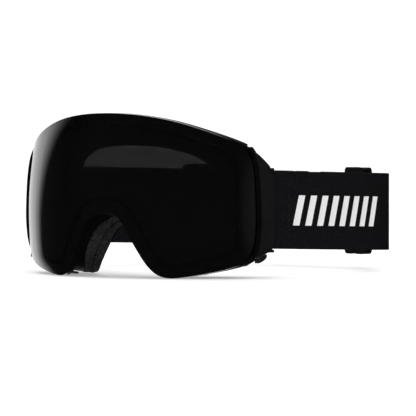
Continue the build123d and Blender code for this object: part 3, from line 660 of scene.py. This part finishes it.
def webbing(name, sign):
    line = centreline()
    # drop points that nearly coincide
    clean = [line[0]]
    for p in line[1:]:
        if math.dist(p, clean[-1]) > 0.25:
            clean.append(p)
    n = len(clean)
    frames = []
    length = 0.0
    for i, p in enumerate(clean):
        a, b = clean[max(0, i - 1)], clean[min(n - 1, i + 1)]
        t = Vector((b[0] - a[0], b[1] - a[1], 0)).normalized()
        if i:
            length += math.dist(p, clean[i - 1])
        frames.append((p, Vector((-t.y, t.x, 0)), length))
    half_w, half_t = STRAP_W / 2, STRAP_T / 2
    section = []
    rows = 26
    for k in range(rows + 1):
        section.append((half_t, -half_w + 0.7 + (STRAP_W - 1.4) * k / rows))
    for a in (60, 30, 0, -30, -60):
        section.append((half_t * math.cos(math.radians(90 - a)) if False else half_t * math.sin(math.radians(a)),
                        half_w - 0.7 + 0.7 * math.cos(math.radians(a))))
    for k in range(rows + 1):
        section.append((-half_t, half_w - 0.7 - (STRAP_W - 1.4) * k / rows))
    for a in (-60, -30, 0, 30, 60):
        section.append((half_t * math.sin(math.radians(a)), -half_w + 0.7 - 0.7 * math.cos(math.radians(a))))
    m = len(section)
    verts, uvs = [], []
    for p, nrm, s in frames:
        zc = strap_z(p[1])
        for side, up in section:
            edge = max(0.0, (abs(up) - 21.5) / 3.5)
            thick = 1.0 + 0.05 * smoothstep(edge) - 0.03 * (1 - smoothstep(edge))
            ripple = 0.10 * noise.noise(Vector((s * 0.05, up * 0.03, 3.0 * sign)))
            fray = 0.10 * noise.noise(Vector((s * 0.45, 7.0 + sign, up * 0.01))) * smoothstep(edge)
            q = Vector((p[0], p[1], 0)) + nrm * (side * thick + ripple)
            narrow = 1 - 0.088 * smoothstep((27.5 - p[0]) / 9.0) if p[1] > 200 else 1.0
            z = zc + up * narrow * (1.0 - 0.0012) + (fray if up > 0 else -fray) * 0.6
            verts.append(row(sign * q.x, q.y, z))
            uvs.append((s / 1000, up / 1000))
    faces = []
    for i in range(len(frames) - 1):
        for j in range(m):
            a, b = i * m + j, i * m + (j + 1) % m
            faces.append((a, b, b + m, a + m))
    faces.append(tuple(range(m)))
    faces.append(tuple(reversed(range((len(frames) - 1) * m, len(frames) * m))))
    obj = new_object(name, verts, faces, uvs=uvs)
    obj.data.materials.append(MAT["strap"])
    return obj, length


STRAP_LENGTH = 0.0
for side_name, sign in (("left", 1), ("right", -1)):
    strap, STRAP_LENGTH = webbing("webbing_" + side_name, sign)
    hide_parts("strap_" + side_name)
    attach(strap, "strap_" + side_name)


# bar tacks: zigzag thread instead of plain blocks
def path_at(s):
    for p, q in zip(PATH, PATH[1:]):
        if q[0] >= s:
            f = (s - p[0]) / (q[0] - p[0])
            return (p[1] + f * (q[1] - p[1]), p[2] + f * (q[2] - p[2]), p[3] + f * (q[3] - p[3]))
    return PATH[-1][1:]


def tube(points, radius, sides=6):
    verts, faces = [], []
    n = len(points)
    for i, p in enumerate(points):
        t = (points[min(n - 1, i + 1)] - points[max(0, i - 1)]).normalized()
        a = t.cross(Vector((0, 0, 1)))
        if a.length < 1e-3:
            a = t.cross(Vector((1, 0, 0)))
        a.normalize()
        b = t.cross(a)
        for k in range(sides):
            w = 2 * math.pi * k / sides
            verts.append(p + (a * math.cos(w) + b * math.sin(w)) * radius)
    for i in range(n - 1):
        for k in range(sides):
            a, b = i * sides + k, i * sides + (k + 1) % sides
            faces.append((a, b, b + sides, a + sides))
    faces.append(tuple(range(sides)))
    faces.append(tuple(reversed(range((n - 1) * sides, n * sides))))
    return verts, faces


for side_name, sign in (("left", 1), ("right", -1)):
    verts, faces = [], []
    for up in (-19.0, -9.5, 0.0, 9.5, 19.0):
        pts = []
        for k in range(37):
            s = 12.1 + (0.42 if k % 2 else -0.42)
            x, y, b = path_at(s)
            h = up - 3.5 + 7.0 * k / 36
            side = STRAP_T / 2 + (0.16 if k % 2 else 0.12)
            pts.append(row(sign * (x + side * math.sin(b)), y - side * math.cos(b), strap_z(y) + h))
        v, f = tube(pts, 0.00011, 5)
        faces += [tuple(i + len(verts) for i in q) for q in f]
        verts += v
    tack = new_object("bar_tack_thread_" + side_name, verts, faces)
    tack.data.materials.append(MAT["thread"])
    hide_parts("bar_tacks_" + side_name)
    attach(tack, "strap_" + side_name)

# ------------------------------------------------------------------ edges on the moulded pieces
for node, width in (("front_frame", 0.00025), ("side_cover_left", 0.0004), ("side_cover_right", 0.0004),
                    ("latch_lever_left", 0.00025), ("latch_lever_right", 0.00025), ("clip_male", 0.0004),
                    ("clip_female", 0.0005), ("slider_left", 0.0006), ("slider_right", 0.0006)):
    soften(node, width)

# ------------------------------------------------------------------ floor, world, light, camera
floor_mesh = bpy.data.meshes.new("floor")
rim = [(0.95 * math.cos(2 * math.pi * k / 64), 0.95 * math.sin(2 * math.pi * k / 64), 0) for k in range(64)]
floor_mesh.from_pydata(rim, [], [tuple(range(64))])
floor = bpy.data.objects.new("floor", floor_mesh)
bpy.context.scene.collection.objects.link(floor)
fm = material("floor_white", (0.93, 0.93, 0.93), 0.9)
fv = coords(fm)
fn = noise_tex(fm, fv, 14.0, 3.0, 0.5)
to_bsdf(fm, ramp(fm, fn, "Fac", [(0.2, (0.925, 0.925, 0.925)), (0.8, (0.935, 0.935, 0.935))]), "Color", "Base Color")
fb = fm.node_tree.nodes["Principled BSDF"]
fb.inputs["Specular IOR Level"].default_value = 0.1
fb.inputs["Emission Color"].default_value = (1, 1, 1, 1)
fb.inputs["Emission Strength"].default_value = 0.32
floor.data.materials.append(fm)
floor.location = (0, 0, -0.0002)
floor.visible_glossy = False

world = bpy.data.worlds.new("studio")
bpy.context.scene.world = world
world.use_nodes = True
nt = world.node_tree
bg = nt.nodes["Background"]
tc = nt.nodes.new("ShaderNodeTexCoord")


def dot_with(azimuth):
    w = math.radians(azimuth)
    dot = nt.nodes.new("ShaderNodeVectorMath")
    dot.operation = "DOT_PRODUCT"
    dot.inputs[1].default_value = (math.sin(w), -math.cos(w), 0)
    nt.links.new(tc.outputs["Generated"], dot.inputs[0])
    return dot.outputs["Value"]


def wmath(op, a, b):
    n = nt.nodes.new("ShaderNodeMath")
    n.operation = op
    for socket, value in zip(n.inputs, (a, b)):
        if hasattr(value, "node"):
            nt.links.new(value, socket)
        else:
            socket.default_value = value
    return n.outputs[0]


def soft_step(value, start, full, strength):
    mr = nt.nodes.new("ShaderNodeMapRange")
    mr.interpolation_type = "SMOOTHSTEP"
    mr.inputs["From Min"].default_value = start
    mr.inputs["From Max"].default_value = full
    mr.inputs["To Min"].default_value = 0.0
    mr.inputs["To Max"].default_value = strength
    nt.links.new(value, mr.inputs["Value"])
    return mr.outputs["Result"]


def glow(azimuth, start, full, strength):
    """Part of the surroundings, soft-edged, centred on an azimuth (0 is -Y, 90 is +X)."""
    return soft_step(dot_with(azimuth), start, full, strength)


# the big soft panel behind on the right-hand side of the wearer: its edge leans with height
split = nt.nodes.new("ShaderNodeSeparateXYZ")
nt.links.new(tc.outputs["Generated"], split.inputs[0])
height = wmath("MINIMUM", wmath("MAXIMUM", split.outputs["Z"], -0.3), 0.3)
lean = wmath("ADD", wmath("MULTIPLY", height, 0.79), wmath("MULTIPLY", wmath("MULTIPLY", height, height), 2.6))
panel = wmath("MULTIPLY", soft_step(wmath("ADD", dot_with(-165), lean), 0.35, 0.62, 1.40),
              soft_step(dot_with(-75), 0.0, 0.3, 1.0))
total = wmath("ADD", wmath("ADD", wmath("ADD", panel, glow(80, 0.94, 0.999, 0.12)), glow(15, 0.0, 0.6, 0.03)), 0.018)
bg.inputs["Color"].default_value = (1, 1, 1, 1)
nt.links.new(total, bg.inputs["Strength"])
white = nt.nodes.new("ShaderNodeBackground")
white.inputs["Color"].default_value = (1, 1, 1, 1)
white.inputs["Strength"].default_value = 1.1
lp = nt.nodes.new("ShaderNodeLightPath")
pick = nt.nodes.new("ShaderNodeMixShader")
seen = wmath("MAXIMUM", lp.outputs["Is Camera Ray"], lp.outputs["Is Transmission Ray"])
nt.links.new(seen, pick.inputs["Fac"])
nt.links.new(bg.outputs[0], pick.inputs[1])
nt.links.new(white.outputs[0], pick.inputs[2])
nt.links.new(pick.outputs[0], nt.nodes["World Output"].inputs["Surface"])


def area(name, where, look, size, power, glossy=False):
    data = bpy.data.lights.new(name, "AREA")
    data.shape = "RECTANGLE"
    data.size, data.size_y = size
    data.energy = power
    obj = bpy.data.objects.new(name, data)
    obj.location = where
    obj.rotation_euler = (Vector(look) - Vector(where)).to_track_quat("-Z", "Y").to_euler()
    bpy.context.scene.collection.objects.link(obj)
    obj.visible_camera = False
    obj.visible_glossy = glossy
    obj.visible_transmission = False
    return obj


area("key_top", (0.15, -0.1, 1.7), (0, 0, 0.05), (2.2, 2.2), 30.0)
area("front_fill", (1.3, -1.2, 0.6), (0.05, 0, 0.05), (0.7, 0.9), 6.0)

A, E = math.radians(33), math.radians(2.2)
right = Vector((math.cos(A), math.sin(A), 0))
up = Vector((-math.sin(A) * math.sin(E), math.cos(A) * math.sin(E), math.cos(E)))
fwd = Vector((-math.sin(A) * math.cos(E), math.cos(A) * math.cos(E), -math.sin(E)))
S = 1.546
U_C, W_C = (208 - 104.0) / S, (277.15 - 208) / S
mid = right * U_C + up * W_C + fwd * 60.0
target = row(mid.x, mid.y, mid.z)
DIST = 6.0
cam_data = bpy.data.cameras.new("camera")
cam_data.sensor_width = 36.0
cam_data.lens = 36.0 * DIST / (416 / S / 1000)
cam_data.clip_end = 100.0
cam = bpy.data.objects.new("camera", cam_data)
cam.location = target - fwd * DIST
cam.rotation_euler = fwd.to_track_quat("-Z", "Y").to_euler()
bpy.context.scene.collection.objects.link(cam)
bpy.context.scene.camera = cam
bpy.context.scene.view_settings.view_transform = "Standard"
